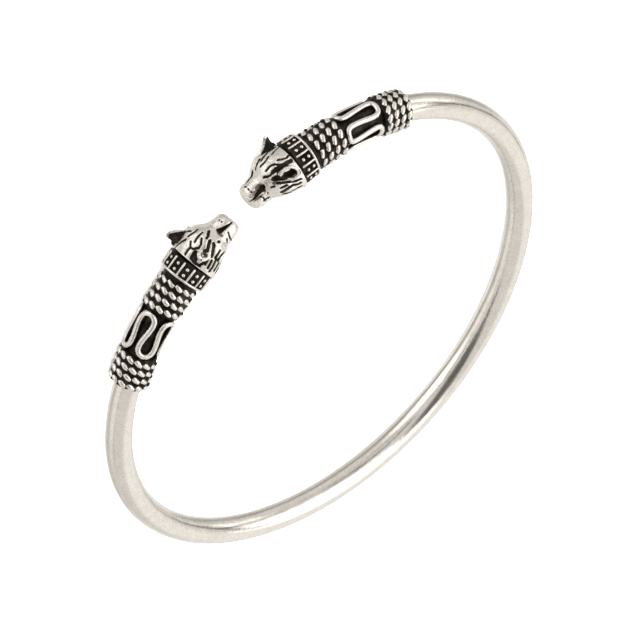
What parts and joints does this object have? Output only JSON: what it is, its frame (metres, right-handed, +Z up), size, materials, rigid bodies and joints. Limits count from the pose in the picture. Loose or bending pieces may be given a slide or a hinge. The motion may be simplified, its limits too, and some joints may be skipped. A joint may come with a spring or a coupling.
{
  "type": "cuff bangle",
  "caption": "Open round-wire bangle with wire-bound ends, each with a soldered collar and a cast cat's head; worn on the wrist",
  "frame": {"origin": "on the floor, under the middle of the outline", "axes": "+Z up, the ring lies on its side; -Y towards the gap between the heads; +X across the ring to one side"},
  "size_m": [0.0652, 0.0642, 0.0063],
  "materials": {
    "plain_silver": "polished sterling silver, slightly satin",
    "blackened_silver": "sterling silver, black in the recesses and rubbed bright on top"
  },
  "bodies": {
    "root": {"hoop": "plain_silver", "rope_rear_left": "blackened_silver", "wave_left": "blackened_silver", "rope_front_left": "blackened_silver", "collar_left": "blackened_silver", "head_left": "blackened_silver", "rope_rear_right": "blackened_silver", "wave_right": "blackened_silver", "rope_front_right": "blackened_silver", "collar_right": "blackened_silver", "head_right": "blackened_silver"}
  },
  "joints": []
}
